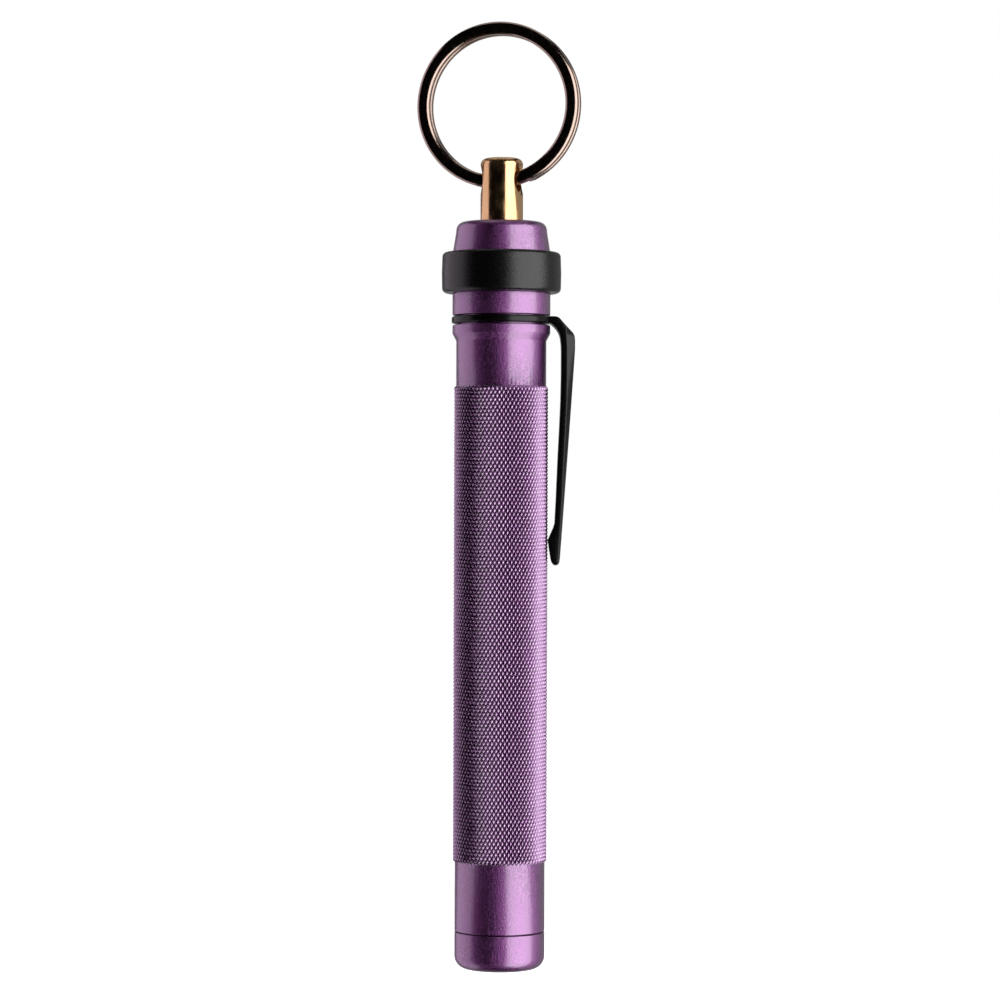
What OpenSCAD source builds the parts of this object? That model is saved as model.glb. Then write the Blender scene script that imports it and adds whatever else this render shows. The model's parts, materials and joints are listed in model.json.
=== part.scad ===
// Pocket penlight for two AAA cells, with a spring clip and a swivelling key ring.
// It stands on its bezel: +Z runs up to the key ring, and the origin is the centre of the bezel's flat face.
// The clip lies on the +X side. Threads are plain cylinders with running clearance.

/* [Barrel] */
// Diameter over the knurled grip
grip_d = 14.2; // [14.1:0.1:14.8]
// Diameter of the plain turned surfaces
plain_d = 13.76; // [13.7:0.02:14]
// Diameter of the flared mouth at the tail
flare_d = 14.94; // [14.8:0.02:15]
// Length of the plain nose next to the bezel
nose_len = 10.8; // [10.4:0.1:12]
// Length of the plain collar below the flared mouth
collar_len = 6.85; // [6.8:0.05:7.2]
// Height of the flared mouth
flare_h = 2.4; // [2.3:0.05:2.6]

/* [Bezel] */
// Height of the bezel that shows
bezel_h = 5.65; // [5.4:0.05:6]
// Radius of the bezel's front edge
bezel_round = 1.95; // [1.5:0.05:2]
// Width of the seam while the light is switched off
seam = 0.15; // [0.14:0.01:0.18]
// Diameter of the window in front of the lens
window_d = 8.4; // [7.6:0.1:8.6]
// Thickness of the lens
lens_t = 1.2; // [1:0.05:1.3]

/* [Cells] */
// Diameter of one AAA cell
cell_d = 10.5; // [10.2:0.1:10.5]
// Length of one AAA cell over its terminals
cell_len = 44.5; // [44.3:0.1:44.6]

/* [Tail cap] */
// Diameter of the skirt below the rubber ring
skirt_d = 14.96; // [14.9:0.02:15.2]
// Height of the skirt
skirt_h = 3.4; // [3.2:0.1:3.8]
// Diameter of the rubber grip ring
rubber_d = 18.24; // [17:0.02:18.6]
// Height of the rubber grip ring
rubber_h = 6.2; // [6:0.1:6.6]
// Height of the domed end
dome_h = 4.65; // [4.5:0.05:4.8]

/* [Swivel stud] */
// Diameter of the stud
stud_d = 6.5; // [6.3:0.1:7]
// Height of the stud above the dome
stud_h = 9.7; // [9.7:0.1:10.4]
// Diameter of the cross hole
eye_d = 4.2; // [4.1:0.1:4.3]
// Height of the cross hole's axis above the dome
eye_h = 6.45; // [6.4:0.05:6.6]
// Angle of the cross hole and the key ring from the clip's plane
swivel_yaw = -15; // [-30:1:30]

/* [Key ring] */
// Outer diameter of the key ring
ring_d = 25.4; // [25:0.1:25.6]
// Radial width of the ring's wire
ring_wire_w = 2; // [1.8:0.1:2.1]
// Thickness of one of the ring's two turns
ring_wire_t = 1.5; // [1.4:0.05:1.5]
// Sideways shift of the ring's centre in the stud
ring_shift = -0.5; // [-0.5:0.1:0.5]

/* [Clip] */
// Width of the clip at its shoulder
clip_w = 5.2; // [4.4:0.1:5.6]
// Width of the clip at its tip
clip_tip_w = 3.8; // [3:0.1:4.2]
// Height of the band round the tail cap's neck
band_h = 1.07; // [1:0.01:1.07]
// Outer diameter of the band
band_d = 15.2; // [15:0.1:15.4]

/* [Hidden] */
$fn = 72;

// Clearances
run = 0.08;         // between a male thread and its bore
ease = 0.03;        // between an O-ring and the wall that it seals on
edge = 0.12;        // broken edge of a turned part
slack = 0.05;       // between the swivel's faces

// Radii
plain_r = plain_d / 2;
grip_r = grip_d / 2;
thread_r = plain_r - 0.7 - run;
cell_bore_r = cell_d / 2 + 0.2;
head_bore_r = 4.95;
fit_r = head_bore_r - 0.1;
flare_r = flare_d / 2;
gland_r = flare_r - 0.77;

// Stations along Z, from the bezel's face upwards
nose_z = bezel_h + seam;
spigot_len = 7.55;
head_spigot_z = bezel_h + spigot_len;
barrel_step_z = head_spigot_z + seam;
lip_z = 0.9;
gasket_t = 0.3;
lens_z = lip_z + gasket_t;
reflector_z = lens_z + lens_t;
reflector_h = 4.8;
board_z = reflector_z + reflector_h;
board_t = 1;
sink_z = board_z + board_t;
sink_floor = 1.2;
sink_h = 4;
driver_t = 1;
driver_z = sink_z + sink_h - driver_t;
contact_z = driver_z + driver_t;
contact_h = 1.3;
cells_z = contact_z + contact_h;
cap_h = 0.9;
cells_end = cells_z + 2 * cell_len;
mouth_z = cells_end - 4.4;
flare_z = mouth_z - flare_h;
collar_z = flare_z - collar_len;
grip_z = nose_z + nose_len;
band_z = mouth_z + 0.25;
skirt_z = mouth_z + 1.5;
rubber_z = skirt_z + skirt_h;
dome_z = rubber_z + rubber_h;
top_z = dome_z + dome_h;
tail_spigot_z = mouth_z - 6.7;
tail_step_z = tail_spigot_z - slack;
gland_z = flare_z + 0.5;
seat_z = dome_z - 1.9;
seat_t = 0.5;
roof_z = dome_z + 0.2;
washer_t = 0.28;
stud_z = top_z + slack;
eye_z = top_z + eye_h;

// Helpers

// Points of an arc about [x, z] with radius r, from angle a to angle b
function arc(x, z, r, a, b, steps = 6) =
    [for (i = [0:steps]) let (t = a + (b - a) * i / steps) [x + r * cos(t), z + r * sin(t)]];

module turned(points) {
    rotate_extrude()
        polygon(points);
}

module rod(r, z, h) {
    translate([0, 0, z])
        cylinder(r = r, h = h);
}

module ring(r_out, r_in, z, h) {
    difference() {
        rod(r_out, z, h);
        rod(r_in, z - 1, h + 2);
    }
}

module o_ring(r_out, section_r, z) {
    rotate_extrude()
        translate([r_out - section_r, z])
            circle(r = section_r, $fn = 24);
}

// A round wire wound about Z from radius r_start to r_end, with half a flat turn at each end
module coil(wire_r, r_start, r_end, z_start, z_end, turns) {
    sides = 8;
    steps = 22 * turns;
    dead = 0.5 / turns;
    function rise(t) = min(1, max(0, (t - dead) / (1 - 2 * dead)));
    function angle(i) = 360 * turns * i / steps;
    function spine(i) = let (u = rise(i / steps), r = r_start + (r_end - r_start) * u)
        [r * cos(angle(i)), r * sin(angle(i)), z_start + (z_end - z_start) * u];
    function rim(a, b) = wire_r * [cos(b) * cos(a), cos(b) * sin(a), sin(b)];
    points = [
        for (i = [0:steps])
            for (k = [0:sides - 1])
                spine(i) + rim(angle(i), 360 * k / sides)
    ];
    skin = [
        for (i = [0:steps - 1])
            for (k = [0:sides - 1])
                let (m = (k + 1) % sides, p = i * sides, q = p + sides)
                    each [[p + k, p + m, q + m], [p + k, q + m, q + k]]
    ];
    start_face = [for (k = [sides - 1:-1:0]) k];
    end_face = [for (k = [0:sides - 1]) steps * sides + k];
    polyhedron(points, concat([start_face, end_face], skin));
}

// Barrel

module barrel() {
    color("mediumorchid")
        difference() {
            turned(concat(
                [[0, nose_z], [plain_r - edge, nose_z], [plain_r, nose_z + edge]],
                [[plain_r, grip_z], [grip_r, grip_z + 0.3]],
                [[grip_r, collar_z - 0.3], [plain_r, collar_z]],
                [[plain_r, flare_z], [flare_r, flare_z + 1.1]],
                [[flare_r, mouth_z - edge], [flare_r - edge, mouth_z], [0, mouth_z]]
            ));
            rod(thread_r + run, nose_z - 1, barrel_step_z - nose_z + 1);
            rod(cell_bore_r, nose_z - 1, mouth_z);
            rod(thread_r + run, tail_step_z, mouth_z);
            rod(gland_r, gland_z, mouth_z);
        }
}

// Head

module bezel() {
    window_r = window_d / 2;
    groove_z = bezel_h + 0.7;
    color("mediumorchid")
        difference() {
            turned(concat(
                [[0, 0]],
                arc(plain_r - bezel_round, bezel_round, bezel_round, -90, 0, 8),
                [[plain_r, bezel_h - edge], [plain_r - edge, bezel_h], [thread_r, bezel_h]],
                [[thread_r, head_spigot_z - 0.3], [thread_r - 0.3, head_spigot_z], [0, head_spigot_z]]
            ));
            rod(head_bore_r, lip_z, head_spigot_z);
            rod(window_r, -1, lip_z + 2);
            translate([0, 0, -0.01])
                cylinder(r1 = window_r + 0.31, r2 = window_r, h = 0.31);
            ring(thread_r + 1, thread_r - 0.6, groove_z, 0.8);
        }
}

module head_o_ring() {
    color("black")
        o_ring(thread_r + run - ease, 0.32, bezel_h + 1.1);
}

module lens_gasket() {
    color("dimgray")
        ring(fit_r, window_d / 2 + 0.05, lip_z, gasket_t);
}

module lens() {
    color("lightcyan")
        rod(fit_r, lens_z, lens_t);
}

// A parabolic bowl, wide at the lens and open at the back round the emitter
module reflector() {
    front_r = 4.3;
    back_r = 1.95;
    steps = 8;
    function bowl_r(t) = sqrt(back_r * back_r + (front_r * front_r - back_r * back_r) * t);
    color("silver")
        turned(concat(
            [for (i = [0:steps]) [bowl_r(1 - i / steps), reflector_z + reflector_h * i / steps]],
            [[fit_r, board_z], [fit_r, reflector_z]]
        ));
}

// Light engine and cells

module led_emitter() {
    side = 2.6;
    base_t = 0.5;
    color("khaki") {
        translate([-side / 2, -side / 2, board_z - base_t])
            cube([side, side, base_t]);
        intersection() {
            translate([0, 0, board_z - base_t])
                sphere(r = 1.1);
            rod(2, board_z - 2, 1.6);
        }
    }
}

module led_board() {
    color("white")
        rod(fit_r - 0.05, board_z, board_t);
}

module heat_sink() {
    color("goldenrod")
        difference() {
            rod(fit_r, sink_z, sink_h);
            rod(fit_r - 0.75, sink_z + sink_floor, sink_h);
        }
}

// The coil and the two chips that face into the heat sink
module driver_parts() {
    color("dimgray") {
        translate([0.9, 0, driver_z - 1.3])
            cylinder(r = 1.4, h = 1.3);
        for (side = [-1, 1])
            translate([-2.2, side * 1.3 - 0.6, driver_z - 0.8])
                cube([1.4, 1.2, 0.8]);
    }
}

module driver_board() {
    color("darkgreen")
        rod(fit_r - 0.8, driver_z, driver_t);
}

module contact_insulator() {
    color("ivory")
        ring(4, 1.65, contact_z, 0.9);
}

module front_contact() {
    color("gold") {
        rod(1.6, contact_z, 0.5);
        rod(1.2, contact_z + 0.5, contact_h - 0.5);
    }
}

module cell_cap(z) {
    color("silver")
        rod(1.9, z, cap_h);
}

module cell_can(z) {
    r = cell_d / 2;
    top = z + cell_len;
    color("gray")
        turned([
            [0, z + cap_h], [r - 0.5, z + cap_h], [r, z + cap_h + 0.5],
            [r, top - 0.4], [r - 0.4, top], [0, top]
        ]);
}

module front_cell_cap() {
    cell_cap(cells_z);
}

module front_cell() {
    cell_can(cells_z);
}

module rear_cell_cap() {
    cell_cap(cells_z + cell_len);
}

module rear_cell() {
    cell_can(cells_z + cell_len);
}

// Tail

// A cone of round wire, narrow on the cell and wide on its seat in the cap
module tail_spring() {
    wire_r = 0.3;
    color("silver")
        coil(wire_r, 2.2, 4.4, cells_end + wire_r, seat_z - seat_t - wire_r, 4);
}

module spring_seat() {
    color("gold")
        ring(cell_bore_r - 0.1, 1.5, seat_z - seat_t, seat_t);
}

module tail_cap() {
    skirt_r = skirt_d / 2;
    groove_r = plain_r + 0.17;
    neck_r = 6.4;
    collar_r = gland_r - run;
    dome_r = skirt_r - 0.03;
    shoulder_z = top_z - 1.4;
    color("mediumorchid")
        difference() {
            turned(concat(
                [[0, tail_spigot_z], [thread_r - 0.3, tail_spigot_z], [thread_r, tail_spigot_z + 0.3]],
                [[thread_r, gland_z + 0.1], [collar_r, gland_z + 0.2]],
                [[collar_r, mouth_z - 0.2], [neck_r, mouth_z - 0.1], [neck_r, skirt_z]],
                [[skirt_r - edge, skirt_z], [skirt_r, skirt_z + edge], [skirt_r, rubber_z]],
                [[groove_r, rubber_z], [groove_r, dome_z], [dome_r, dome_z]],
                [[dome_r - 0.21, dome_z + 1.3], [dome_r - 0.4, dome_z + 2.55]],
                arc(dome_r - 1.9, shoulder_z, 1.4, 0, 90, 6),
                [[0, top_z]]
            ));
            rod(cell_bore_r, tail_spigot_z - 1, seat_z - tail_spigot_z + 1);
            rod(4.2, seat_z - 1, roof_z - seat_z + 1);
            rod(2 + slack, seat_z, top_z);
            ring(gland_r + 0.2, gland_r - 0.75, gland_z + 0.55, 0.8);
        }
}

module tail_o_ring() {
    color("black")
        o_ring(gland_r - ease, 0.33, gland_z + 0.95);
}

// A moulded sleeve with rounded rims
module grip_ring() {
    r = rubber_d / 2;
    rim = 0.7;
    color("black")
        turned(concat(
            [[plain_r + 0.17, rubber_z]],
            arc(r - rim, rubber_z + rim, rim, -90, 0, 5),
            arc(r - rim, dome_z - rim, rim, 0, 90, 5),
            [[plain_r + 0.17, dome_z]]
        ));
}

// Swivel

module swivel_stud() {
    r = stud_d / 2;
    top = top_z + slack + stud_h;
    shaft_r = 2;
    groove_r = 1.45;
    groove_z = roof_z - washer_t - 0.62;
    color("goldenrod")
        difference() {
            turned(concat(
                [[0, seat_z + 0.6], [shaft_r - 0.3, seat_z + 0.6], [shaft_r, seat_z + 0.9]],
                [[shaft_r, groove_z], [groove_r, groove_z]],
                [[groove_r, groove_z + 0.56], [shaft_r, groove_z + 0.56], [shaft_r, stud_z]],
                [[r - edge, stud_z], [r, stud_z + edge]],
                arc(r - 1, top - 1, 1, 0, 90, 6),
                [[0, top]]
            ));
            translate([0, 0, eye_z])
                rotate([0, 0, swivel_yaw])
                    rotate([0, 90, 0]) {
                        cylinder(d = eye_d, h = 4 * r, center = true);
                        for (end = [0, 180])
                            rotate([end, 0, 0])
                                translate([0, 0, r - 0.75])
                                    cylinder(d1 = eye_d, d2 = eye_d + 2, h = 1);
                    }
        }
}

module swivel_washer() {
    color("goldenrod")
        ring(3.9, 2.1, roof_z - washer_t, washer_t - 0.02);
}

// An open ring that snaps into the stud's groove
module retaining_clip() {
    z = roof_z - washer_t - 0.59;
    color("gray")
        difference() {
            ring(3.5, 1.5, z, 0.5);
            translate([0, -1.1, z - 1])
                cube([5, 2.2, 3]);
            for (side = [-1, 1])
                rotate([0, 0, side * 62])
                    translate([2, 0, z - 1])
                        cylinder(r = 0.65, h = 3);
        }
}

// Two flat turns of wire side by side, as the outline of the split ring
module key_ring() {
    mid_r = (ring_d - ring_wire_w) / 2;
    round_r = 0.55;
    color("dimgray")
        translate([0, 0, eye_z])
            rotate([0, 0, swivel_yaw])
                translate([ring_shift, 0, mid_r - 0.3])
                    rotate([90, 0, 0])
                        rotate_extrude()
                            for (side = [-1, 1])
                                translate([mid_r, side * ring_wire_t / 2])
                                    wire_section(ring_wire_w / 2, ring_wire_t / 2, round_r);
}

module wire_section(half_w, half_t, r) {
    x = half_w - r;
    y = half_t - r;
    polygon(concat(
        arc(x, y, r, 0, 90, 3),
        arc(-x, y, r, 90, 180, 3),
        arc(-x, -y, r, 180, 270, 3),
        arc(x, -y, r, 270, 360, 3)
    ));
}

// Clip

// Gap between the band's lug and the arm, where the spring steel flexes
hinge_x = 8.3;
hinge_gap = 0.06;
shoulder_x = 11.37;
tip_z = mouth_z - 36.6;
bend_z = mouth_z - 1.85;

module clip_band() {
    band_in_r = gland_r;
    color("dimgray")
        difference() {
            union() {
                rod(band_d / 2, band_z, band_h);
                translate([0, -clip_w / 2, band_z])
                    cube([hinge_x - hinge_gap / 2, clip_w, band_h]);
            }
            rod(band_in_r, band_z - 1, band_h + 2);
        }
}

// Side view of the arm, down from its shoulder to the rounded tip and back up the inner face
module arm_side() {
    root = hinge_x + hinge_gap / 2;
    top = band_z + band_h;
    polygon(concat(
        [[root, top], [9, top]],
        arc(shoulder_x - 1.2, bend_z, 1.2, 45, -4, 4),
        arc(8.42, tip_z + 0.66, 0.66, -4, -150, 6),
        arc(7.75, tip_z + 3.7, 0.6, 200, 160, 3),
        [[8.2, tip_z + 6.3], [9.07, mouth_z - 11.4], [9.25, mouth_z - 3.8]],
        arc(8.35, mouth_z - 1.9, 0.85, 0, 55, 4),
        [[root, band_z]]
    ));
}

module clip_arm() {
    top = band_z + band_h + 1;
    color("dimgray")
        intersection() {
            rotate([90, 0, 0])
                linear_extrude(clip_w, center = true)
                    arm_side();
            rotate([90, 0, 90])
                linear_extrude(20)
                    polygon(concat(
                        [[-clip_w / 2, top], [-clip_w / 2, bend_z - 3]],
                        arc(0, tip_z + clip_tip_w / 2, clip_tip_w / 2, 180, 360, 10),
                        [[clip_w / 2, bend_z - 3], [clip_w / 2, top]]
                    ));
        }
}

barrel();
bezel();
lens_gasket();
lens();
reflector();
head_o_ring();
led_emitter();
led_board();
heat_sink();
driver_parts();
driver_board();
contact_insulator();
front_contact();
front_cell_cap();
front_cell();
rear_cell_cap();
rear_cell();
tail_spring();
spring_seat();
tail_cap();
tail_o_ring();
grip_ring();
swivel_stud();
swivel_washer();
retaining_clip();
key_ring();
clip_band();
clip_arm();
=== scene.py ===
import json
import math

import bpy
from mathutils import Matrix, Vector


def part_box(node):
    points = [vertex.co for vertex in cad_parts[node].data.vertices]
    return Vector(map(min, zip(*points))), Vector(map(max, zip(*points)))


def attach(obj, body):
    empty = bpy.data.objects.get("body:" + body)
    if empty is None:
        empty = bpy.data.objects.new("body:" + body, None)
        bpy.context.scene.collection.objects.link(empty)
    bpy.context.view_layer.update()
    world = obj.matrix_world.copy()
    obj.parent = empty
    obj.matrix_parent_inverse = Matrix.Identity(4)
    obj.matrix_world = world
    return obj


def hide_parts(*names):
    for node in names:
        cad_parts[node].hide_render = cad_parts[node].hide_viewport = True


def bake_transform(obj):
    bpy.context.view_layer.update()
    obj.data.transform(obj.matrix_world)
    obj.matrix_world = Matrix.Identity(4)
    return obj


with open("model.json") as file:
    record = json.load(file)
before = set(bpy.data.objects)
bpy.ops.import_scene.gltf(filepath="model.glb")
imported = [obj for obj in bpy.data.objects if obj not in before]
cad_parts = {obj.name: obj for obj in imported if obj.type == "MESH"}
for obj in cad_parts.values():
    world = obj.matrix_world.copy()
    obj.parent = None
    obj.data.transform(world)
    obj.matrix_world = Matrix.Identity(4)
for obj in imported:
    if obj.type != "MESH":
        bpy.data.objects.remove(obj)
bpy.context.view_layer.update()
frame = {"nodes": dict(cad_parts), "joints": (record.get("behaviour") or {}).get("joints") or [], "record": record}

# ---------------------------------------------------------------- sizes, in millimetres, from the frame
MM = 0.001


def low(node):
    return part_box(node)[0] / MM


def high(node):
    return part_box(node)[1] / MM


PLAIN_R = high("bezel").x
FLARE_R = high("barrel").x
NOSE_Z = low("barrel").z
MOUTH_Z = high("barrel").z
SKIRT_R = high("tail_cap").x
TOP_Z = high("tail_cap").z
RUBBER_R = high("grip_ring").x
RUBBER_Z = low("grip_ring").z
DOME_Z = high("grip_ring").z
STUD_R = high("swivel_stud").x
STUD_TOP = high("swivel_stud").z
STUD_FOOT = low("swivel_stud").z
CELL_R = high("front_cell").x
BAND_Z = low("clip_band").z
BAND_TOP = high("clip_band").z

JOINTS = {j["name"]: j for j in frame["joints"]}
EYE = Vector(JOINTS["ring_swing"]["pos_m"]) / MM
EYE_AXIS = Vector(JOINTS["ring_swing"]["axis"])

KNURL_R = 7.17          # over the crests
KNURL_ROOT = 6.88       # in the grooves
KNURL_FROM = NOSE_Z + 10.45
KNURL_TO = MOUTH_Z - 9.25
KNURL_STARTS = 68
KNURL_ROWS = 65
BORE_R = 5.45           # cell bore
THREAD_R = 6.1          # male crest
THREAD_BORE_R = 6.18    # female crest
THREAD_PITCH = 0.8
THREAD_STEP = THREAD_PITCH / 8
THREAD_DEPTH = 0.42     # of a male thread
BORE_THREAD_DEPTH = 0.3 # of a female thread
HEAD_BORE_R = 4.95      # bore for the light engine and bowl
WINDOW_R = 4.2          # opening in front of the lens
GLAND_R = 6.7           # where an O-ring seals
GROOVE_R = PLAIN_R + 0.17   # floor of the grip ring's groove
BREAK = 0.12            # broken edge of a turned part
COARSE, FINE = 96, 136  # segments round a turned part
CREASE = 32             # degrees, where shading breaks

# ---------------------------------------------------------------- mesh helpers
ON_AXIS = 1e-6          # a radius below this is a point on the axis


def rounded(corners, step=15):
    """An outline from corners (r, z, radius): each corner becomes an arc of that radius."""
    points = []
    count = len(corners)
    for i, (x, z, radius) in enumerate(corners):
        here = Vector((x, z))
        before = Vector(corners[i - 1][:2]) - here
        after = Vector(corners[(i + 1) % count][:2]) - here
        if radius == 0:
            points.append((x, z))
            continue
        turn = before.angle(after)
        reach = radius / math.tan(turn / 2)
        start = here + before.normalized() * reach
        centre = here + (before.normalized() + after.normalized()).normalized() * radius / math.sin(turn / 2)
        spoke = start - centre
        sweep = math.pi - turn
        if before.x * after.y - before.y * after.x > 0:
            sweep = -sweep
        pieces = max(2, math.ceil(math.degrees(abs(sweep)) / step))
        for k in range(pieces + 1):
            turned = spoke.copy()
            turned.rotate(Matrix.Rotation(sweep * k / pieces, 2))
            points.append(tuple(centre + turned))
    return points


class Skin:
    """Vertices in millimetres and faces, gathered before they become one mesh."""

    def __init__(self):
        self.points, self.faces, self.crest = [], [], {}

    def add(self, x, y, z):
        self.points.append((x, y, z))
        return len(self.points) - 1

    def ring(self, r, z, count, offset=None):
        """A ring of points about Z, or one point where r is 0. offset(angle) is added to the radius."""
        if r < ON_AXIS:
            return [self.add(0, 0, z)]
        out = []
        for k in range(count):
            angle = 2 * math.pi * k / count
            radius = r + (offset(angle) if offset else 0)
            out.append(self.add(radius * math.cos(angle), radius * math.sin(angle), z))
        return out

    def bridge(self, a, b):
        """Faces between two rings, facing outwards when b lies above a on an outer wall."""
        count = max(len(a), len(b))
        for k in range(count):
            m = (k + 1) % count
            if len(a) == 1:
                self.faces.append((a[0], b[m], b[k]))
            elif len(b) == 1:
                self.faces.append((a[k], a[m], b[0]))
            else:
                self.faces.append((a[k], a[m], b[m], b[k]))

    def loops(self, rings, closed):
        pairs = list(zip(rings, rings[1:]))
        if closed:
            pairs.append((rings[-1], rings[0]))
        for a, b in pairs:
            self.bridge(a, b)

    def tube(self, rings):
        """A closed skin along the rings, with a flat face at each end."""
        self.loops(rings, closed=False)
        self.faces.append(tuple(rings[0][::-1]))
        self.faces.append(tuple(rings[-1]))

    def piece(self, name, sharp=CREASE):
        mesh = bpy.data.meshes.new(name)
        mesh.from_pydata([(x * MM, y * MM, z * MM) for x, y, z in self.points], [], self.faces)
        mesh.validate()
        if self.crest:
            crest_wear_and_highlight = mesh.attributes.new("crest", "FLOAT", "POINT")
            crest_wear_and_highlight.data.foreach_set("value", [self.crest.get(i, 0.5) for i in range(len(self.points))])
        finish_mesh(mesh, sharp)
        obj = bpy.data.objects.new(name, mesh)
        bpy.context.scene.collection.objects.link(obj)
        return obj


def finish_mesh(mesh, sharp=CREASE):
    mesh.polygons.foreach_set("use_smooth", [True] * len(mesh.polygons))
    mesh.set_sharp_from_angle(angle=math.radians(sharp))
    mesh.update()


def lathe(name, outline, segments=COARSE, offset=None):
    """A turned piece. The outline runs counter-clockwise in (r, z), and is closed unless it starts and ends
    on the axis. offset(r, z, angle) may add a thread to the radius."""
    skin = Skin()
    rings = []
    for r, z in outline:
        shift = (lambda angle, z=z, r=r: offset(r, z, angle)) if offset else None
        rings.append(skin.ring(r, z, segments, shift))
    skin.loops(rings, closed=outline[0][0] > ON_AXIS)
    return skin.piece(name)


def apply_modifiers(obj):
    """Bakes the object's modifiers into its mesh."""
    graph = bpy.context.evaluated_depsgraph_get()
    mesh = bpy.data.meshes.new_from_object(obj.evaluated_get(graph))
    obj.modifiers.clear()
    obj.data = mesh
    return obj


def boolean(obj, tool, operation):
    cut = obj.modifiers.new("cut", "BOOLEAN")
    cut.operation = operation
    cut.solver = "EXACT"
    cut.object = tool
    apply_modifiers(obj)
    bpy.data.objects.remove(tool)
    return obj


def bevel(obj, width, angle=40, segments=2):
    edge = obj.modifiers.new("edge", "BEVEL")
    edge.width = width * MM
    edge.segments = segments
    edge.limit_method = "ANGLE"
    edge.angle_limit = math.radians(angle)
    return apply_modifiers(obj)


def thread(crest_r, z_from, z_to, depth=THREAD_DEPTH):
    """What a right-hand thread adds to the radius of a wall of crest_r between two heights. A positive depth
    cuts inwards, as on a spigot, and a negative one outwards, as in a bore. Each end fades over one turn."""
    same_wall, flank_slope, groove_width = 0.02, 4.4, 1.7

    def offset(r, z, angle):
        if abs(r - crest_r) > same_wall or not z_from <= z <= z_to:
            return 0
        phase = (z / THREAD_PITCH - angle / (2 * math.pi)) % 1
        groove = min(1, max(0, groove_width - abs(phase - 0.5) * flank_slope))
        fade = min(1, (z - z_from) / THREAD_PITCH, (z_to - z) / THREAD_PITCH)
        return -depth * groove * max(0, fade)
    return offset


def wall(r, z_from, z_to, step=THREAD_STEP):
    """Points up or down a straight wall, close enough together to carry a thread."""
    count = max(1, round(abs(z_to - z_from) / step))
    return [(r, z_from + (z_to - z_from) * k / count) for k in range(count + 1)]


# ---------------------------------------------------------------- material helpers
BLACK = (0.0015, 0.0015, 0.0015)
DUSTY_BLACK = (0.005, 0.0047, 0.0045)


class Finish:
    """A material under construction: a Principled shader and the nodes that drive it."""

    def __init__(self, name, color, metallic=0.0, roughness=0.5, **sockets):
        self.mat = bpy.data.materials.new(name)
        self.mat.use_nodes = True
        self.nodes, self.links = self.mat.node_tree.nodes, self.mat.node_tree.links
        self.shader = self.nodes["Principled BSDF"]
        self.set("Base Color", (*color, 1))
        self.set("Metallic", metallic)
        self.set("Roughness", roughness)
        for key, value in sockets.items():
            self.set(key.replace("_", " ").title().replace("Ior", "IOR"), value)
        self.place = self.nodes.new("ShaderNodeTexCoord").outputs["Object"]
        self.normal = None

    def set(self, socket, value):
        self.shader.inputs[socket].default_value = value

    def stretched(self, x, y, z):
        """Object coordinates in millimetres, scaled along each axis."""
        mapping = self.nodes.new("ShaderNodeMapping")
        mapping.inputs["Scale"].default_value = (x / MM, y / MM, z / MM)
        self.links.new(self.place, mapping.inputs["Vector"])
        return mapping.outputs["Vector"]

    def noise(self, x, y, z, detail=3.0, roughness=0.55):
        """Noise with that many features per millimetre along each axis."""
        texture = self.nodes.new("ShaderNodeTexNoise")
        texture.inputs["Scale"].default_value = 1.0
        texture.inputs["Detail"].default_value = detail
        texture.inputs["Roughness"].default_value = roughness
        self.links.new(self.stretched(x, y, z), texture.inputs["Vector"])
        return texture.outputs["Fac"]

    def remap(self, value, low_in, high_in, low_out, high_out):
        node = self.nodes.new("ShaderNodeMapRange")
        node.clamp = True
        limits = {"From Min": low_in, "From Max": high_in, "To Min": low_out, "To Max": high_out}
        for key, number in limits.items():
            node.inputs[key].default_value = number
        self.links.new(value, node.inputs["Value"])
        return node.outputs["Result"]

    def combine(self, operation, a, b):
        node = self.nodes.new("ShaderNodeMath")
        node.operation = operation
        for socket, value in zip(node.inputs, (a, b)):
            if isinstance(value, (int, float)):
                socket.default_value = value
            else:
                self.links.new(value, socket)
        return node.outputs["Value"]

    def mix(self, factor, a, b):
        """Colour a where factor is 0 and b where it is 1. Each is a colour or a node's output."""
        node = self.nodes.new("ShaderNodeMix")
        node.data_type = "RGBA"
        self.links.new(factor, node.inputs["Factor"])
        for key, value in (("A", a), ("B", b)):
            socket = [s for s in node.inputs if s.name == key and s.type == "RGBA"][0]
            if isinstance(value, tuple):
                socket.default_value = (*value, 1)
            else:
                self.links.new(value, socket)
        return [s for s in node.outputs if s.type == "RGBA"][0]

    def attribute(self, name):
        node = self.nodes.new("ShaderNodeAttribute")
        node.attribute_name = name
        return node.outputs["Fac"]

    def drive(self, socket, value):
        self.links.new(value, self.shader.inputs[socket])

    def bump(self, height, strength, distance):
        """Adds a bump layer, distance in millimetres."""
        node = self.nodes.new("ShaderNodeBump")
        node.inputs["Strength"].default_value = strength
        node.inputs["Distance"].default_value = distance * MM
        self.links.new(height, node.inputs["Height"])
        if self.normal is not None:
            self.links.new(self.normal, node.inputs["Normal"])
        self.normal = node.outputs["Normal"]
        self.drive("Normal", self.normal)


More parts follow.
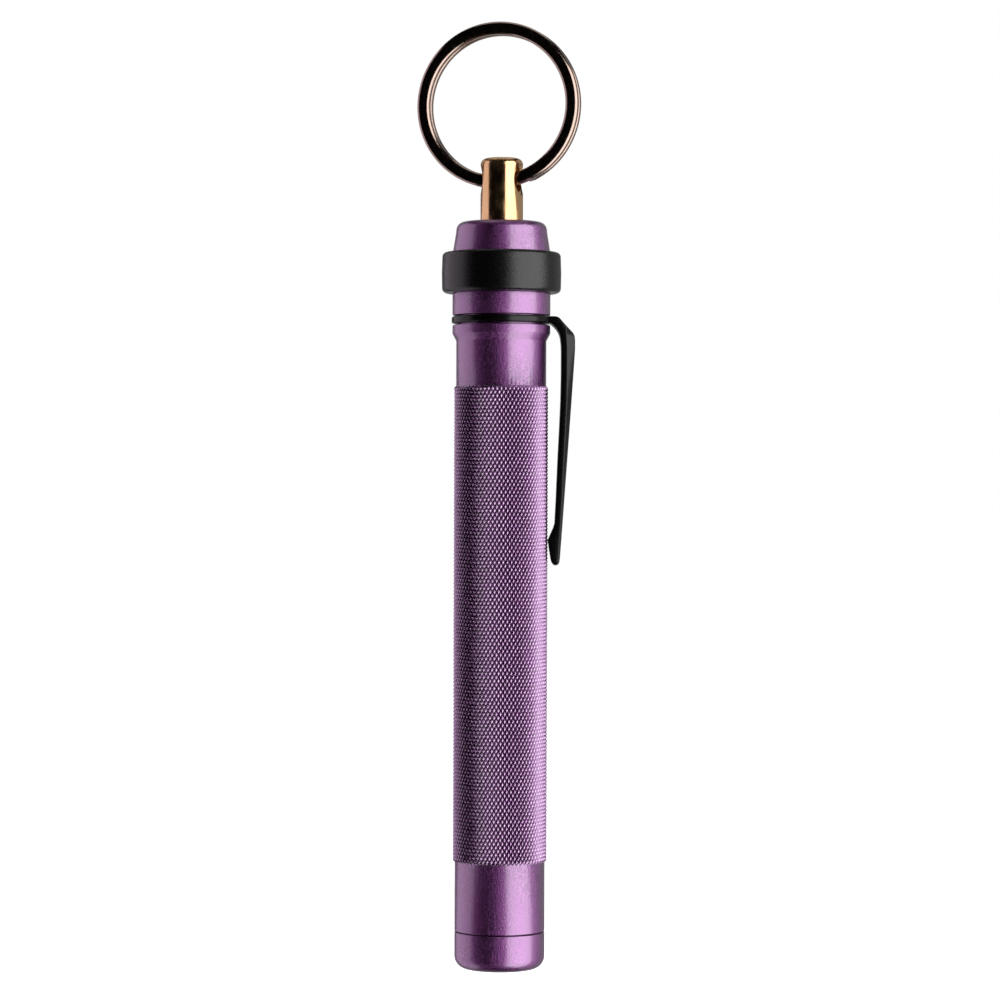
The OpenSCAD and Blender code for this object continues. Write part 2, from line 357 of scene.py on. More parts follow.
def anodised(name, knurled=False):
    """Bead-blasted aluminium with a dyed purple oxide and a clear sealed surface."""
    deep, light, pale = (0.16, 0.04, 0.178), (0.262, 0.074, 0.28), (0.37, 0.12, 0.388)
    groove_painted_shade_tone, crest_wear_and_highlight_tone = (0.10, 0.018, 0.11), (0.72, 0.50, 0.76)
    f = Finish(name, deep, metallic=1.0,
               coat_weight=1.0, coat_roughness=0.25, coat_ior=2.0)
    cloud = f.noise(0.25, 0.25, 0.12, detail=2)
    blast = f.noise(3.2, 3.2, 3.2, detail=4, roughness=0.65)
    patches = f.remap(cloud, 0.35, 0.65, 0, 1)
    color = f.mix(f.remap(blast, 0.41, 0.59, 0, 1), f.mix(patches, deep, light), f.mix(patches, pale, light))
    rough = f.remap(blast, 0.3, 0.7, 0.32, 0.4)
    if knurled:
        # crest is 0 in a groove, a half on plain metal and 1 on top of a diamond
        rub = f.noise(0.6, 0.6, 0.6, detail=4)
        groove = f.remap(f.attribute("crest"), 0.0, 0.5, 1.0, 0.0)
        crest = f.remap(f.attribute("crest"), 0.5, 1.0, 0.0, 1.0)
        crest_wear_and_highlight = f.combine("MULTIPLY", crest, f.remap(rub, 0.35, 0.65, 0.6, 1.0))
        # painted shade: the knurl's grooves are darkened
        color = f.mix(groove, color, groove_painted_shade_tone)
        # lighter crests: partly wear through the oxide, partly a painted highlight
        color = f.mix(crest_wear_and_highlight, color, crest_wear_and_highlight_tone)
        rough = f.combine("SUBTRACT", rough, f.combine("MULTIPLY", crest, 0.12))
    f.drive("Base Color", color)
    f.drive("Roughness", rough)
    f.bump(blast, 1.0, 0.11)
    return f.mat


def brass(name, tone=(0.85, 0.53, 0.27), roughness=0.18, stain=0.4):
    """Turned brass with fine lathe rings and a little brown tarnish."""
    f = Finish(name, tone, metallic=1.0, roughness=roughness)
    rings = f.noise(0.1, 0.1, 14, detail=3)
    patch = f.noise(0.5, 0.5, 0.3, detail=4)
    dull = tuple(c * k for c, k in zip(tone, (0.62, 0.52, 0.42)))
    f.drive("Base Color", f.mix(f.remap(patch, 0.52, 0.72, 0, stain), tone, dull))
    f.drive("Roughness", f.remap(patch, 0.4, 0.7, roughness - 0.04, roughness + 0.14))
    f.bump(rings, 0.16, 0.006)
    return f.mat


def steel(name, tone=(0.55, 0.55, 0.54), roughness=0.28, grain=(6, 6, 6)):
    """Plated or bright steel with fine draw marks."""
    f = Finish(name, tone, metallic=1.0, roughness=roughness)
    marks = f.noise(*grain, detail=3)
    dull = tuple(c * 0.75 for c in tone)
    f.drive("Base Color", f.mix(f.remap(marks, 0.35, 0.7, 0, 0.6), tone, dull))
    f.drive("Roughness", f.remap(marks, 0.3, 0.7, roughness - 0.06, roughness + 0.1))
    f.bump(marks, 0.12, 0.008)
    return f.mat


def black_nickel(name):
    """Dark warm plating with fine rub marks along the wire."""
    tone, rubbed = (0.42, 0.31, 0.26), (0.54, 0.43, 0.37)
    f = Finish(name, tone, metallic=1.0, roughness=0.25)
    scuff = f.noise(1.4, 1.4, 1.4, detail=5, roughness=0.7)
    fine = f.noise(14, 14, 14, detail=2)
    f.drive("Base Color", f.mix(f.remap(scuff, 0.5, 0.75, 0, 0.7), tone, rubbed))
    f.drive("Roughness", f.remap(scuff, 0.35, 0.7, 0.13, 0.24))
    f.bump(fine, 0.04, 0.004)
    return f.mat


def black_oxide(name):
    """Satin black finish on a formed clip, greyer where it is rubbed."""
    tone, rubbed = BLACK, DUSTY_BLACK
    f = Finish(name, tone, specular_ior_level=0.35)
    grain = f.noise(11, 11, 11, detail=3)
    rub = f.noise(0.7, 0.7, 0.25, detail=4)
    f.drive("Base Color", f.mix(f.remap(rub, 0.5, 0.8, 0, 0.5), tone, rubbed))
    f.drive("Roughness", f.remap(grain, 0.3, 0.7, 0.18, 0.3))
    f.bump(grain, 0.2, 0.012)
    return f.mat


def rubber(name, roughness=0.27):
    """Moulded black rubber with a fine matt skin and dust in its pores."""
    f = Finish(name, BLACK, specular_ior_level=0.55)
    skin = f.noise(4, 4, 4, detail=4, roughness=0.65)
    dust = f.noise(1.1, 1.1, 1.1, detail=5, roughness=0.7)
    f.drive("Base Color", f.mix(f.remap(dust, 0.56, 0.8, 0, 0.6), BLACK, DUSTY_BLACK))
    f.drive("Roughness", f.remap(skin, 0.3, 0.7, roughness - 0.06, roughness + 0.1))
    f.bump(skin, 0.6, 0.04)
    return f.mat


def plastic(name, tone, roughness=0.45, speck=(0.0, 0.0, 0.0)):
    """Moulded or coated plastic with a fine grain and faint mottling."""
    f = Finish(name, tone, roughness=roughness)
    mottle = f.noise(1.2, 1.2, 1.2, detail=4)
    grain = f.noise(9, 9, 9, detail=2)
    f.drive("Base Color", f.mix(f.remap(mottle, 0.5, 0.8, 0, 0.35), tone, speck))
    f.drive("Roughness", f.remap(grain, 0.3, 0.7, roughness - 0.07, roughness + 0.1))
    f.bump(grain, 0.15, 0.01)
    return f.mat


def glass(name):
    """Clear flat glass with a faint coating and a trace of dust."""
    f = Finish(name, (0.97, 0.985, 1.0), roughness=0.02, transmission_weight=1.0, ior=1.5,
               coat_weight=0.3, coat_roughness=0.03)
    dust = f.noise(3, 3, 3, detail=5)
    f.drive("Roughness", f.remap(dust, 0.55, 0.8, 0.01, 0.09))
    return f.mat


def mirror_coat(name):
    """Vapour-coated bowl with a slight orange peel."""
    f = Finish(name, (0.86, 0.87, 0.88), metallic=1.0, roughness=0.06)
    peel = f.noise(3, 3, 3, detail=3)
    f.drive("Roughness", f.remap(peel, 0.3, 0.7, 0.03, 0.12))
    f.bump(peel, 0.12, 0.01)
    return f.mat


def phosphor(name):
    """Yellow phosphor under a clear silicone dome."""
    f = Finish(name, (0.80, 0.62, 0.12), roughness=0.25, coat_weight=1.0, coat_roughness=0.05,
               subsurface_weight=0.2)
    grit = f.noise(10, 10, 10, detail=3)
    f.drive("Base Color", f.mix(f.remap(grit, 0.35, 0.7, 0, 1), (0.84, 0.66, 0.13), (0.72, 0.50, 0.07)))
    f.bump(grit, 0.2, 0.01)
    return f.mat


MATERIALS = {
    "anodised_barrel": anodised("anodised_barrel", knurled=True),
    "anodised_bezel": anodised("anodised_bezel"),
    "anodised_cap": anodised("anodised_cap"),
    "seal_rubber": rubber("seal_rubber", roughness=0.4),
    "grip_rubber": rubber("grip_rubber"),
    "lens_glass": glass("lens_glass"),
    "reflector_metal": mirror_coat("reflector_metal"),
    "emitter_phosphor": phosphor("emitter_phosphor"),
    "board_white": plastic("board_white", (0.80, 0.80, 0.78), speck=(0.55, 0.54, 0.5)),
    "sink_brass": brass("sink_brass", roughness=0.3),
    "chip_plastic": plastic("chip_plastic", (0.02, 0.02, 0.021), speck=(0.05, 0.05, 0.05)),
    "board_green": plastic("board_green", (0.012, 0.09, 0.03), roughness=0.35, speck=(0.02, 0.05, 0.02)),
    "insulator_plastic": plastic("insulator_plastic", (0.62, 0.56, 0.42), speck=(0.45, 0.38, 0.26)),
    "contact_brass": brass("contact_brass", tone=(0.75, 0.53, 0.22), stain=0.2),
    "cell_steel": steel("cell_steel", tone=(0.62, 0.61, 0.58)),
    "cell_jacket": plastic("cell_jacket", (0.035, 0.04, 0.055), roughness=0.3, speck=(0.06, 0.06, 0.07)),
    "spring_steel": steel("spring_steel", grain=(2, 2, 9)),
    "stud_brass": brass("stud_brass"),
    "washer_brass": brass("washer_brass", roughness=0.3),
    "ring_black_nickel": black_nickel("ring_black_nickel"),
    "clip_black": black_oxide("clip_black"),
}
SLOT_OF = {part["node"]: part["material_slot"] for part in frame["record"]["subparts"]}


def dress(obj, slot):
    obj.data.materials.clear()
    obj.data.materials.append(MATERIALS[slot])


def stand_for(obj, body, *nodes):
    """The piece takes the place, the finish and the motion of these CAD nodes."""
    dress(obj, SLOT_OF[nodes[0]])
    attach(obj, body)
    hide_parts(*nodes)


# ---------------------------------------------------------------- the pieces


def knurl_rows(skin):
    """Rows of groove points, half a diamond apart, and a small flat diamond between each four of them.
    Returns the first and last full rings."""
    count = 2 * KNURL_STARTS
    last = 2 * KNURL_ROWS
    step = (KNURL_TO - KNURL_FROM) / last
    flat = 0.2          # half the width of a flat, in steps

    def spot(r, i, z):
        angle = 2 * math.pi * (i % count) / count
        return skin.add(r * math.cos(angle), r * math.sin(angle), z)

    grid = {}
    for row in range(last + 1):
        at_end = row in (0, last)
        for i in range(count):
            if at_end or (i + row) % 2 == 0:
                point = spot(PLAIN_R if at_end else KNURL_ROOT, i, KNURL_FROM + row * step)
                grid[i, row] = point
                if not at_end:
                    skin.crest[point] = 0.0

    def crest(i, row, side, up):
        angle = 2 * math.pi * (i + side * flat) / count
        point = skin.add(KNURL_R * math.cos(angle), KNURL_R * math.sin(angle),
                         KNURL_FROM + (row + up * flat) * step)
        skin.crest[point] = 1.0
        return point

    for row in range(last + 1):
        for i in range(count):
            if (i + row) % 2 == 0:
                continue
            east, west = grid[(i + 1) % count, row], grid[(i - 1) % count, row]
            if row in (0, last):
                up = 1 if row == 0 else -1
                tip = grid[i, row + up]
                foot = grid[i, row]
                a, b = crest(i, row + 0.5 * up, -1, 0), crest(i, row + 0.5 * up, 1, 0)
                c = crest(i, row + 0.5 * up, 0, up)
                fan = [(west, foot, a), (foot, b, a), (foot, east, b),
                       (east, tip, c, b), (tip, west, a, c), (a, b, c)]
                skin.faces.extend(face if up == 1 else face[::-1] for face in fan)
                continue
            corners = (east, grid[i, row + 1], west, grid[i, row - 1])
            top = (crest(i, row, 1, 0), crest(i, row, 0, 1), crest(i, row, -1, 0), crest(i, row, 0, -1))
            skin.faces.append(top)
            for k in range(4):
                m = (k + 1) % 4
                skin.faces.append((corners[k], corners[m], top[m], top[k]))
    return [grid[i, 0] for i in range(count)], [grid[i, last] for i in range(count)]


def make_barrel():
    """Nose, diamond knurl, collar and flared mouth outside; threads and cell bore inside."""
    count = 2 * KNURL_STARTS
    flare_z = MOUTH_Z - 2.4
    head_step = NOSE_Z + 7.55
    tail_step = MOUTH_Z - 6.75
    skin = Skin()
    first, last = knurl_rows(skin)

    # each outline's first or last corner only gives a direction, so it is dropped
    nose = rounded([(THREAD_BORE_R, NOSE_Z, 0.1), (PLAIN_R, NOSE_Z, BREAK), (PLAIN_R, NOSE_Z + 1, 0)])[:-1]
    mouth = rounded([
        (PLAIN_R, flare_z - 1, 0), (PLAIN_R, flare_z, 0.5), (FLARE_R, flare_z + 1.1, 0.35),
        (FLARE_R, MOUTH_Z, 0.16), (GLAND_R, MOUTH_Z, 0.14),
    ])[1:]
    inside = [(GLAND_R, flare_z + 0.5), (THREAD_BORE_R, flare_z + 0.5)]
    inside += wall(THREAD_BORE_R, flare_z + 0.3, tail_step + 0.01)
    inside += [(THREAD_BORE_R, tail_step), (BORE_R, tail_step)]
    inside += [(BORE_R, head_step), (THREAD_BORE_R, head_step)]
    inside += wall(THREAD_BORE_R, head_step - 0.01, NOSE_Z + 0.5)
    tail_thread = thread(THREAD_BORE_R, tail_step, flare_z + 0.3, -BORE_THREAD_DEPTH)
    head_thread = thread(THREAD_BORE_R, NOSE_Z + 0.4, head_step, -BORE_THREAD_DEPTH)

    def ring(r, z):
        return skin.ring(r, z, count, lambda angle: tail_thread(r, z, angle) + head_thread(r, z, angle))

    lower = [ring(r, z) for r, z in nose]
    upper = [ring(r, z) for r, z in mouth]
    inner = [ring(r, z) for r, z in inside]
    skin.loops(lower + [first], closed=False)
    skin.loops([last] + upper + inner + [lower[0]], closed=False)
    # the knurl's bumps shade smoothly and the rest breaks at its edges
    stand_for(skin.piece("barrel_knurled", sharp=62), "barrel", "barrel")


def make_bezel():
    """A rounded cap with a window, a threaded spigot and an O-ring groove."""
    top = high("bezel").z
    seam, face = 0.15, 0.9
    shoulder = NOSE_Z - seam
    groove = shoulder + 0.7
    groove_top, groove_r = groove + 0.8, THREAD_R - 0.6
    thread_from, thread_to = groove + 1.1, top - 0.3
    outline = rounded([
        (WINDOW_R, 0, 0.22), (PLAIN_R, 0, 1.95), (PLAIN_R, shoulder, 0.13), (THREAD_R, shoulder, 0.05),
        (THREAD_R, groove, 0.06), (groove_r, groove, 0.06),
        (groove_r, groove_top, 0.06), (THREAD_R, groove_top, 0.06),
    ], step=9)
    outline += wall(THREAD_R, thread_from, thread_to)
    outline += rounded([
        (THREAD_R - 0.3, top, 0), (HEAD_BORE_R, top, 0.08), (HEAD_BORE_R, face, 0.05), (WINDOW_R, face, 0.1),
    ])
    bezel = lathe("bezel_turned", outline, FINE, thread(THREAD_R, thread_from, thread_to))
    stand_for(bezel, "head", "bezel")


def make_tail_cap():
    """Threaded spigot, O-ring gland, neck, skirt, grip-ring groove and domed end, bored for the stud."""
    foot = low("tail_cap").z
    gland = MOUTH_Z - 1.9
    neck, collar, dome = 6.4, GLAND_R - 0.08, SKIRT_R - 0.03
    gland_low, gland_top, gland_floor = gland + 0.55, gland + 1.35, collar - 0.62
    skirt_z = MOUTH_Z + 1.5
    seat_z, roof_z = DOME_Z - 1.9, DOME_Z + 0.2
    recess, stud_hole = 4.2, 2.05
    thread_from, thread_to = foot + 0.3, gland - 0.1
    outline = [(BORE_R, foot), (THREAD_R - 0.3, foot)]
    outline += wall(THREAD_R, thread_from, thread_to)
    outline += rounded([
        (THREAD_R, gland + 0.1, 0), (collar, gland + 0.2, 0.04),
        (collar, gland_low, 0.04), (gland_floor, gland_low, 0.05),
        (gland_floor, gland_top, 0.05), (collar, gland_top, 0.04),
        (collar, MOUTH_Z - 0.2, 0.05), (neck, MOUTH_Z - 0.1, 0.03), (neck, skirt_z, 0.06),
        (SKIRT_R, skirt_z, 0.16), (SKIRT_R, RUBBER_Z, 0.1), (GROOVE_R, RUBBER_Z, 0.05),
        (GROOVE_R, DOME_Z, 0.05), (dome, DOME_Z, 0.08), (dome - 0.21, DOME_Z + 1.3, 1.5),
        (dome - 0.47, DOME_Z + 2.9, 0.4), (dome - 0.65, TOP_Z, 1.25), (stud_hole, TOP_Z, 0.12),
        (stud_hole, roof_z, 0.03), (recess, roof_z, 0.1), (recess, seat_z, 0.05), (BORE_R, seat_z, 0),
    ], step=9)
    cap = lathe("tail_cap_turned", outline, FINE, thread(THREAD_R, thread_from, thread_to))
    stand_for(cap, "tail", "tail_cap")


def make_grip_ring():
    """A moulded rubber sleeve, slightly barrelled, with rounded rims and a parting line."""
    middle = (RUBBER_Z + DOME_Z) / 2
    outline = rounded([
        (GROOVE_R, RUBBER_Z, 0.15), (RUBBER_R - 0.06, RUBBER_Z, 0.75), (RUBBER_R, middle - 0.05, 0.02),
        (RUBBER_R, middle + 0.05, 0.02), (RUBBER_R - 0.1, DOME_Z, 0.65), (GROOVE_R, DOME_Z, 0.15),
    ], step=10)
    stand_for(lathe("grip_ring_moulded", outline, FINE), "tail", "grip_ring")


def make_stud():
    """A turned post on a grooved shaft, cross-drilled for the key ring."""
    shaft, groove_r = 2.0, 1.45
    foot = TOP_Z + 0.05
    groove = DOME_Z - 0.7
    groove_top = groove + 0.56
    chamfer = 0.3
    outline = [(0, STUD_FOOT)] + rounded([
        (shaft, STUD_FOOT, 0.25), (shaft, groove, 0), (groove_r, groove, 0), (groove_r, groove_top, 0),
        (shaft, groove_top, 0), (shaft, foot, 0), (STUD_R, foot, 0.14), (STUD_R, STUD_TOP, 1.0),
        (0, STUD_TOP, 0),
    ], step=9)
    outline[1:3] = [(shaft - 0.3, STUD_FOOT), (shaft, STUD_FOOT + 0.3)]
    stud = lathe("swivel_stud_turned", outline, COARSE)
    # the drill is a rod that flares towards both ends, which sinks the edges of the eye
    eye, flared, reach = 2.1, 3.95, STUD_R + 2
    straight = STUD_R - 0.75
    drill = lathe("drill", [(0, -reach), (flared, -reach), (eye, -straight),
                            (eye, straight), (flared, reach), (0, reach)], 64)
    drill.data.transform(EYE_AXIS.to_track_quat("Z", "Y").to_matrix().to_4x4())
    drill.data.transform(Matrix.Translation(EYE * MM))
    boolean(stud, drill, "DIFFERENCE")
    bevel(stud, 0.07, angle=28)
    finish_mesh(stud.data)
    stand_for(stud, "swivel", "swivel_stud")


def wire_section(half_w, half_t, radius):
    """The rounded rectangle of flat wire, as (across, along the ring's axis)."""
    return rounded([(half_w, half_t, radius), (-half_w, half_t, radius),
                    (-half_w, -half_t, radius), (half_w, -half_t, radius)], step=12)


def make_key_ring():
    """Two turns of flat spring wire. One turn crosses over to the other beside the two cut ends."""
    outer, wire_w, wire_t, gap = 12.7, 2.0, 1.46, 0.05
    mid = outer - wire_w / 2
    lift = (wire_t + gap) / 2
    cross_at, cross_half, end_gap = -84, 14, 2      # degrees
    steps = 360
    section = wire_section(wire_w / 2, wire_t / 2, 0.6)
    start, end = cross_half + end_gap, 720 - cross_half - end_gap
    skin = Skin()
    rings = []
    for k in range(steps + 1):
        t = start + (end - start) * k / steps
        u = min(1, max(0, (t - 360 + cross_half) / (2 * cross_half)))
        side = lift * (2 * u * u * (3 - 2 * u) - 1)
        angle = math.radians(t + cross_at)
        taper = min(1, 0.86 + 0.07 * min(k, steps - k))
        ring = []
        for across, along in section:
            r = mid + across * taper
            ring.append(skin.add(r * math.cos(angle), r * math.sin(angle), side + along * taper))
        rings.append(ring)
    skin.tube(rings)
    ring = skin.piece("key_ring_split", sharp=40)
    centre = (low("key_ring") + high("key_ring")) / 2
    facing = EYE_AXIS.cross(Vector((0, 0, 1)))
    turn = Matrix((EYE_AXIS, (0, 0, 1), facing)).transposed().to_4x4()
    ring.data.transform(turn)
    ring.data.transform(Matrix.Translation(centre * MM))
    stand_for(ring, "key_ring", "key_ring")


CLIP_TIP = 61.5
# Stations down the clip: inner face (x, z), outer edge of the side wall (x, z), crown (x, z), half width
CLIP_STATIONS = [
    ((7.0, 98.38), (7.0, 99.42), (7.0, 99.42), 2.6),
    ((7.5, 98.36), (7.7, 99.42), (7.7, 99.42), 2.6),
    ((7.95, 97.98), (8.35, 99.40), (8.35, 99.40), 2.6),
    ((8.35, 97.55), (8.85, 99.18), (8.85, 99.20), 2.6),
    ((8.65, 97.10), (9.35, 98.50), (9.40, 98.60), 2.6),
    ((8.85, 96.65), (9.88, 97.75), (9.95, 97.98), 2.6),
    ((8.97, 96.20), (9.93, 96.90), (10.85, 97.02), 2.6),
    ((9.03, 95.70), (9.96, 96.20), (11.15, 96.55), 2.58),
    ((9.08, 95.20), (10.0, 95.40), (11.24, 95.90), 2.57),
    ((9.12, 94.35), (10.05, 94.35), (11.24, 94.35), 2.56),
    ((9.12, 90.50), (10.07, 90.50), (10.99, 90.50), 2.47),
    ((9.05, 86.70), (10.01, 86.70), (10.74, 86.70), 2.39),
    ((8.89, 82.90), (9.86, 82.90), (10.48, 82.90), 2.31),
    ((8.70, 79.10), (9.68, 79.10), (10.22, 79.10), 2.23),
    ((8.53, 75.30), (9.50, 75.30), (9.95, 75.30), 2.15),
    ((8.38, 71.45), (9.33, 71.45), (9.68, 71.45), 2.07),
    ((8.20, 67.90), (9.14, 67.90), (9.43, 67.90), 2.0),
    ((7.98, 67.20), (9.09, 67.20), (9.38, 67.20), 1.98),
    ((7.34, 65.75), (8.98, 65.75), (9.28, 65.75), 1.96),
    ((7.18, 65.40), (8.95, 65.40), (9.25, 65.40), 1.95),
    ((7.15, 65.10), (8.93, 65.10), (9.23, 65.10), 1.95),
    ((7.24, 64.80), (8.91, 64.80), (9.21, 64.80), 1.95),
    ((7.36, 63.90), (8.86, 63.90), (9.14, 63.90), 1.93),
    ((7.60, 62.50), (8.80, 62.50), (9.04, 62.50), 1.8),
    ((7.74, 61.95), (8.74, 61.95), (8.96, 61.95), 1.55),
    ((7.98, 61.62), (8.62, 61.62), (8.78, 61.62), 1.15),
    ((8.20, CLIP_TIP), (8.48, CLIP_TIP), (8.55, CLIP_TIP), 0.7),
]
CLIP_SHOULDER_RUN = 0.95    # width of the sloping shoulder on each side of the crown
CLIP_HOLLOW = 0.12          # how far the inner face is hollowed towards the edge, as a share


def make_clip():
    """A band and a formed arm with a raised crown and a thick foot, in one piece."""
    skin = Skin()
    rings = []
    for inner, edge, crown, half in CLIP_STATIONS:
        ridge = max(0.35 * half, half - CLIP_SHOULDER_RUN)
        lift = Vector(inner).lerp(Vector(edge), CLIP_HOLLOW)
        outline = [(inner, -half), (lift, -half * 0.45), (lift, half * 0.45), (inner, half),
                   (edge, half), (crown, ridge), (crown, -ridge), (edge, -half)]
        rings.append([skin.add(point[0], y, point[1]) for point, y in outline])
    for a, b in zip(rings, rings[1:]):
        skin.bridge(b, a)
    skin.faces.append(tuple(rings[0]))
    skin.faces.append(tuple(rings[-1][::-1]))
    clip = skin.piece("clip_formed")
    clip.data.flip_normals()
    bevel(clip, 0.11, angle=24, segments=3)
    band_r = high("clip_band").y
    band = lathe("band", rounded([
        (GLAND_R, BAND_Z, 0.08), (band_r, BAND_Z, 0.3),
        (band_r, BAND_TOP, 0.3), (GLAND_R, BAND_TOP, 0.08),
    ]), FINE)
    boolean(clip, band, "UNION")
    clip.data.name = clip.name
    finish_mesh(clip.data, sharp=38)
    dress(clip, "clip_black")
    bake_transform(clip)
    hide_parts("clip_band", "clip_arm")


def make_optics():
    """Lens with ground edges, parabolic bowl and the emitter's square base and dome."""
    base, top = low("lens").z, high("lens").z
    r = high("lens").x
    lens = lathe("lens_ground", [(0, base)] + rounded([(r, base, 0.15), (r, top, 0.15), (0, top, 0)]))
    stand_for(lens, "head", "lens")

    front, back = low("reflector").z, high("reflector").z
    outer, mouth, hole = high("reflector").x, 4.3, 1.95
    bowl = []
    steps = 24
    for k in range(steps + 1):
        t = 1 - k / steps
        bowl.append((math.sqrt(hole ** 2 + (mouth ** 2 - hole ** 2) * t), front + (back - front) * (1 - t)))
    outline = [(outer, front), (outer, back)] + bowl[::-1]
    stand_for(lathe("reflector_bowl", outline, COARSE), "head", "reflector")

    board = low("led_board").z
    half, thick, chamfer = 1.3, 0.5, 0.08
    skin = Skin()
    rings = []
    for inset, z in ((0, board), (0, board - thick + chamfer), (chamfer, board - thick)):
        s = half - inset
        rings.append([skin.add(x * s, y * s, z) for x, y in ((1, 1), (1, -1), (-1, -1), (-1, 1))])
    skin.tube(rings)
    dome_r, dome_z, around = 1.1, board - thick + 0.02, 40
    dome = [skin.ring(dome_r * math.cos(a), dome_z - dome_r * math.sin(a), around)
            for a in (math.radians(d) for d in range(0, 90, 10))]
    dome.append(skin.ring(0, dome_z - dome_r, around))
    for a, b in zip(dome, dome[1:]):
        skin.bridge(b, a)
    skin.faces.append(tuple(dome[0]))
    stand_for(skin.piece("led_emitter_domed"), "core", "led_emitter")


def make_cells():
    """Two cells in a shrink sleeve that folds over each end of the can."""
    for name in ("front_cell", "rear_cell"):
        base, top = low(name).z, high(name).z
        outline = [(0, base + 0.12)] + rounded([
            (CELL_R - 1.4, base + 0.12, 0.1), (CELL_R - 1.1, base, 0.1), (CELL_R, base, 0.45),
            (CELL_R, base + 1.6, 0.2), (CELL_R - 0.12, base + 1.8, 0.2), (CELL_R, base + 2.0, 0.2),
            (CELL_R, top, 0.4), (CELL_R - 1.0, top, 0.1), (CELL_R - 1.3, top - 0.15, 0.1),
            (CELL_R - 1.6, top, 0.1), (0, top, 0),
        ])
        stand_for(lathe(name + "_sleeved", outline, COARSE), "core", name)


def make_spring():
    """The tail spring's cone of round wire, with flat end turns and cut ends."""
    wire, turns, sides, per_turn = 0.3, 4, 12, 48       # wire is its radius
    base, top = low("tail_spring").z, high("tail_spring").z
    steps = turns * per_turn
    narrow, wide, dead = 2.2, 4.4, 0.5 / turns
    skin = Skin()
    rings = []
    for k in range(steps + 1):
        u = min(1, max(0, (k / steps - dead) / (1 - 2 * dead)))
        r = narrow + (wide - narrow) * u
        z = base + wire + (top - base - 2 * wire) * u
        angle = 2 * math.pi * turns * k / steps
        ring = []
        for m in range(sides):
            b = 2 * math.pi * m / sides
            across = r + wire * math.cos(b)
            ring.append(skin.add(across * math.cos(angle), across * math.sin(angle), z + wire * math.sin(b)))
        rings.append(ring)
    skin.tube(rings)
    spring = skin.piece("tail_spring_wound")
    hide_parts("tail_spring")
    dress(spring, SLOT_OF["tail_spring"])
    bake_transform(spring)


def make_seals():
    """Two O-rings with a fine moulding line round the outside."""
    for name, body in (("head_o_ring", "head"), ("tail_o_ring", "tail")):
        r = (high(name).z - low(name).z) / 2
        mid_z = (high(name).z + low(name).z) / 2
        mid_r = high(name).x - r
        outline, around = [], 32
        for k in range(around):
            a = 2 * math.pi * k / around
            flash = 0.012 if k == 0 else 0
            outline.append((mid_r + (r + flash) * math.cos(a), mid_z + r * math.sin(a)))
        stand_for(lathe(name + "_moulded", outline, COARSE), body, name)


make_barrel()
make_bezel()
make_tail_cap()
make_grip_ring()
make_stud()
make_key_ring()
make_clip()
make_optics()
make_cells()
make_spring()
make_seals()

# The CAD nodes that stay take their slot's material
for node, obj in frame["nodes"].items():
    if not obj.hide_render:
        dress(obj, SLOT_OF[node])

# ---------------------------------------------------------------- stage, light and camera


def plain(name, color, roughness=0.9, glow=0.0):
    """A matt surface that glows white."""
    f = Finish(name, color, emission_strength=glow)
    f.set("Emission Color", (1, 1, 1, 1))
    f.drive("Roughness", f.remap(f.noise(0.05, 0.05, 0.05), 0.3, 0.7, roughness - 0.1, roughness))
    return f.mat


def make_floor():
    """A pale floor, low enough that the head stays above it when it is screwed right out."""
    size, drop = 2.5, -0.012
    mesh = bpy.data.meshes.new("floor")
    mesh.from_pydata([(-size, -size, drop), (size, -size, drop), (size, size, drop), (-size, size, drop)],
                     [], [(0, 1, 2, 3)])
    floor = bpy.data.objects.new("floor", mesh)
    bpy.context.scene.collection.objects.link(floor)
    mesh.materials.append(plain("pale_floor", (0.9, 0.9, 0.9), glow=1.0))
    floor.visible_glossy = False
    floor.visible_diffuse = False
    floor.visible_shadow = False


def area_lamp(name, place, aim, width, height, radiance, tint=(1, 1, 1)):
    """A rectangular lamp of that radiance, facing from place to aim and hidden from the camera."""
    lamp = bpy.data.lights.new(name, "AREA")
    lamp.shape = "RECTANGLE"
    lamp.size, lamp.size_y = width, height
    lamp.energy = radiance * math.pi * width * height
    lamp.color = tint
    obj = bpy.data.objects.new(name, lamp)
    obj.location = place
    obj.rotation_euler = (place - aim).to_track_quat("Z", "Y").to_euler()
    obj.visible_camera = False
    bpy.context.scene.collection.objects.link(obj)


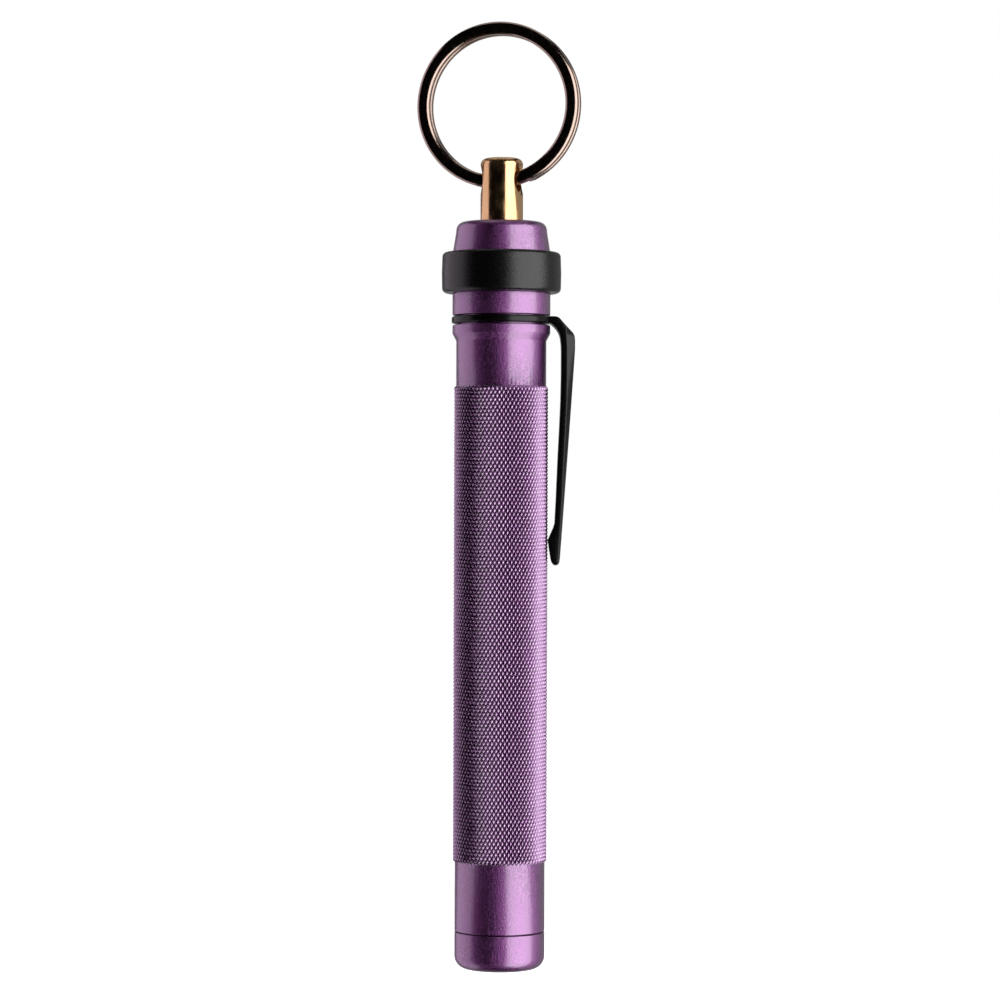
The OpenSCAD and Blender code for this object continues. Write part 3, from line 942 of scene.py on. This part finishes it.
def softbox(name, azimuth, half_angle, radiance, distance=0.9, height=2.4, middle=-0.35,
            tint=(1, 1, 1)):
    """A tall lamp beside the light. Azimuth is measured from the camera's side, positive to the right."""
    aim = Vector((0, 0, middle))
    a = math.radians(azimuth)
    place = aim + Vector((math.sin(a), -math.cos(a), 0)) * distance
    area_lamp(name, place, aim, 2 * distance * math.tan(math.radians(half_angle)), height, radiance, tint)


def overhead(name, radiance, distance=1.2, width=1.1):
    """A square lamp above and a little behind the light."""
    area_lamp(name, Vector((0, 0.3, distance)), Vector((0, 0, 0)), width, width, radiance)


WORLD_DIM = (0.0015, 0.0015, 0.0016)


def make_world():
    """Pale for the camera, dim for reflections, so that the softboxes draw the shapes."""
    world = bpy.data.worlds.new("studio")
    world.use_nodes = True
    nodes, links = world.node_tree.nodes, world.node_tree.links
    background = nodes["Background"]
    background.inputs["Color"].default_value = (*WORLD_DIM, 1)
    pale = nodes.new("ShaderNodeBackground")
    pale.inputs["Color"].default_value = (1, 1, 1, 1)
    path = nodes.new("ShaderNodeLightPath")
    mixer = nodes.new("ShaderNodeMixShader")
    links.new(path.outputs["Is Camera Ray"], mixer.inputs[0])
    links.new(background.outputs[0], mixer.inputs[1])
    links.new(pale.outputs[0], mixer.inputs[2])
    links.new(mixer.outputs[0], nodes["World Output"].inputs["Surface"])
    bpy.context.scene.world = world


def make_camera():
    """Level with the middle of the light, straight on, from half a metre, and a touch rolled."""
    aside, distance, height, roll = -0.12 * MM, 509 * MM, 71.45 * MM, math.radians(-0.19)
    camera = bpy.data.cameras.new("camera")
    camera.lens = 120.0
    camera.sensor_width = 36.0
    camera.clip_start = 0.01
    obj = bpy.data.objects.new("camera", camera)
    obj.location = (aside, -distance, height)
    obj.rotation_euler = (math.pi / 2, roll, 0)
    bpy.context.scene.collection.objects.link(obj)
    bpy.context.scene.camera = obj


make_floor()
make_world()
softbox("key_right", azimuth=55, half_angle=35, radiance=2.6)
softbox("edge_right", azimuth=120, half_angle=32, radiance=0.3)
softbox("fill_left", azimuth=-110, half_angle=34, radiance=0.82, tint=(1, 0.88, 1))
softbox("back", azimuth=180, half_angle=22, radiance=0.4)
overhead("top", radiance=0.6)
make_camera()
bpy.context.scene.view_settings.view_transform = "Standard"
